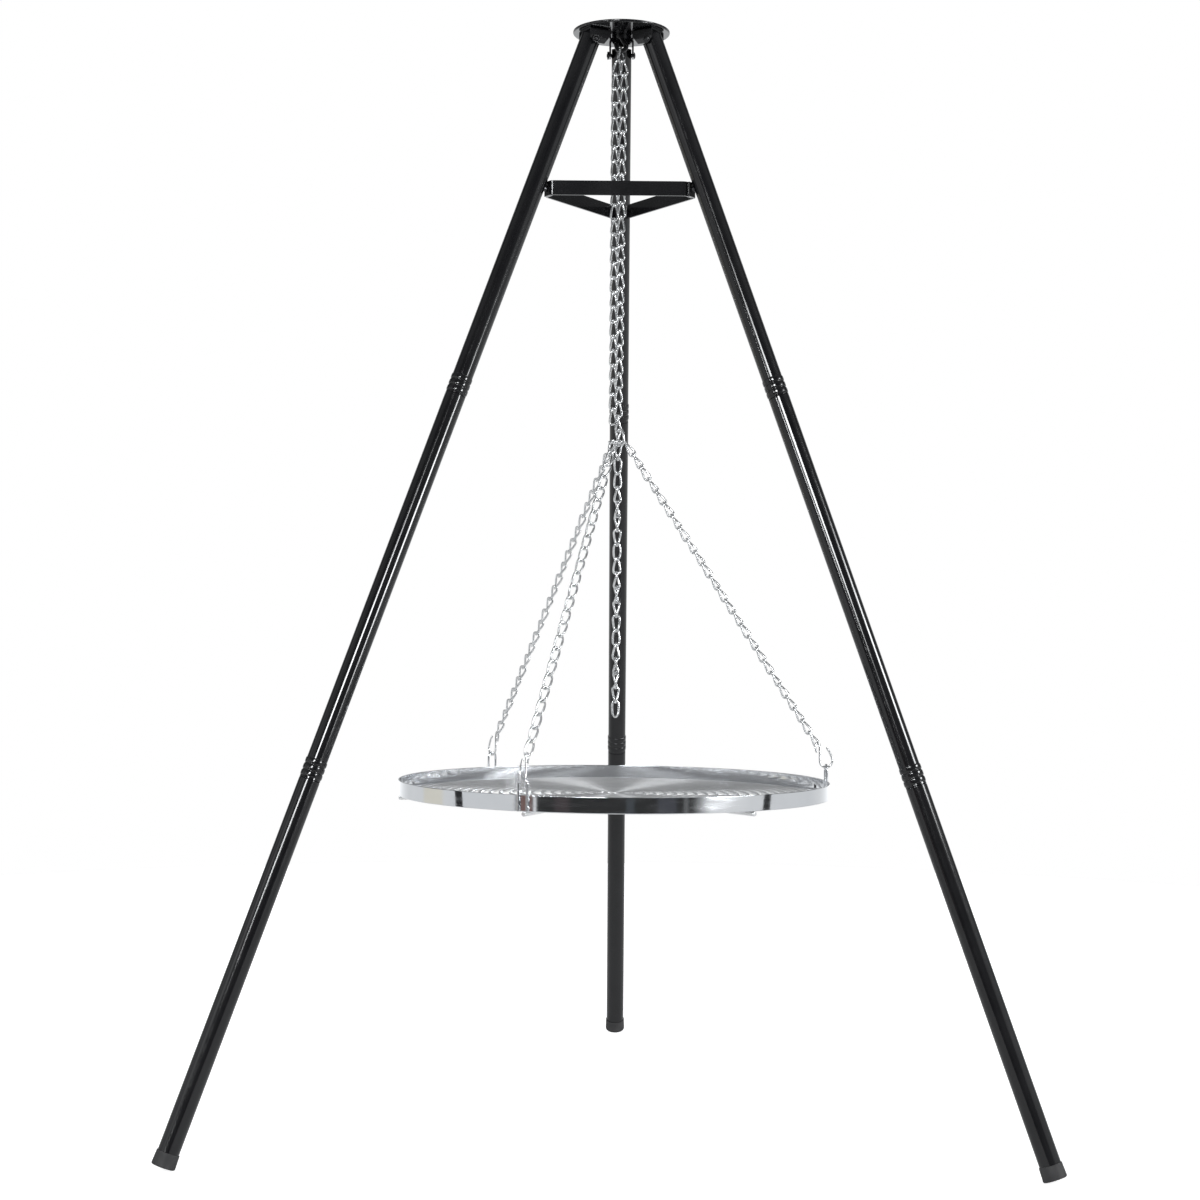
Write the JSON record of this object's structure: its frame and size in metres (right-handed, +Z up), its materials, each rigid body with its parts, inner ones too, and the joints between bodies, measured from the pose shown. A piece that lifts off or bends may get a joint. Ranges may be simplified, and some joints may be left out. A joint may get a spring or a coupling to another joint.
{
  "type": "tripod campfire grill",
  "caption": "Black tube tripod with a round hub and flat spreader bars; a chain carries a round chrome cooking grate that swings, turns and is set in height.",
  "frame": {"origin": "middle of the footprint's box on the ground; the tripod's upright axis stands 160 mm towards -Y of it", "axes": "+Z up; +Y towards the single back leg; +X to the right of the front leg pair, seen from the front"},
  "size_m": [1.1416, 0.993, 1.5254],
  "materials": {
    "black_coat": "gloss black powder coat",
    "black_steel": "blackened steel, satin",
    "black_rubber": "matt moulded",
    "bolt_zinc": "bright zinc plate",
    "chain_zinc": "bright zinc plate",
    "grate_chrome": "polished chrome plate"
  },
  "bodies": {
    "frame": {"foot_cap_back": "black_rubber", "foot_cap_left": "black_rubber", "foot_cap_right": "black_rubber", "hub_hook": "black_steel", "hub_hook_lock_nut": "black_steel", "hub_hook_nut": "black_steel", "hub_plate": "black_coat", "leg_back_lower": "black_coat", "leg_back_middle": "black_coat", "leg_back_upper": "black_coat", "leg_bolt_back": "black_steel", "leg_bolt_left": "black_steel", "leg_bolt_right": "black_steel", "leg_bracket_back": "black_coat", "leg_bracket_left": "black_coat", "leg_bracket_right": "black_coat", "leg_left_lower": "black_coat", "leg_left_middle": "black_coat", "leg_left_upper": "black_coat", "leg_nut_back": "black_steel", "leg_nut_left": "black_steel", "leg_nut_right": "black_steel", "leg_right_lower": "black_coat", "leg_right_middle": "black_coat", "leg_right_upper": "black_coat", "spreader_bar_front": "black_coat", "spreader_bar_left": "black_coat", "spreader_bar_right": "black_coat", "spreader_bolt_back": "black_steel", "spreader_bolt_left": "black_steel", "spreader_bolt_right": "black_steel", "spreader_insert_back": "bolt_zinc", "spreader_insert_left": "bolt_zinc", "spreader_insert_right": "bolt_zinc"},
    "top_link": {"chain_top_link": "chain_zinc"},
    "main_chain": {"chain_short_strand": "chain_zinc", "chain_long_strand": "chain_zinc"},
    "gather_hook": {"gather_hook": "chain_zinc"},
    "gather_ring": {"gather_ring": "chain_zinc"},
    "hanging_grate": {"grate_grid": "grate_chrome", "grate_rim": "grate_chrome", "hanger_chain_back": "chain_zinc", "hanger_chain_front": "chain_zinc", "hanger_chain_right": "chain_zinc", "rim_bracket_back": "grate_chrome", "rim_bracket_front": "grate_chrome", "rim_bracket_right": "grate_chrome", "s_hook_back": "chain_zinc", "s_hook_front": "chain_zinc", "s_hook_right": "chain_zinc"}
  },
  "joints": [
    {"name": "swing_fore_aft", "type": "hinge", "parent": "frame", "child": "top_link", "pos_m": [0, -0.16018, 1.49386], "axis": [1, 0, 0], "range_deg": [-3, 3]},
    {"name": "swing_sideways", "type": "hinge", "parent": "top_link", "child": "main_chain", "pos_m": [0, -0.16018, 1.49386], "axis": [0, 1, 0], "range_deg": [-3, 3]},
    {"name": "grate_height", "type": "slide", "parent": "main_chain", "child": "gather_hook", "axis": [0, 0, 1], "range_m": [-0.2393, 0.0199]},
    {"name": "grate_turn", "type": "hinge", "parent": "gather_hook", "child": "gather_ring", "pos_m": [0, -0.16018, 0.94286], "axis": [0, 0, 1], "range_deg": [-30, 30]},
    {"name": "grate_tip", "type": "hinge", "parent": "gather_ring", "child": "hanging_grate", "pos_m": [0, -0.16018, 0.94286], "axis": [1, 0, 0], "range_deg": [-2, 2]}
  ]
}
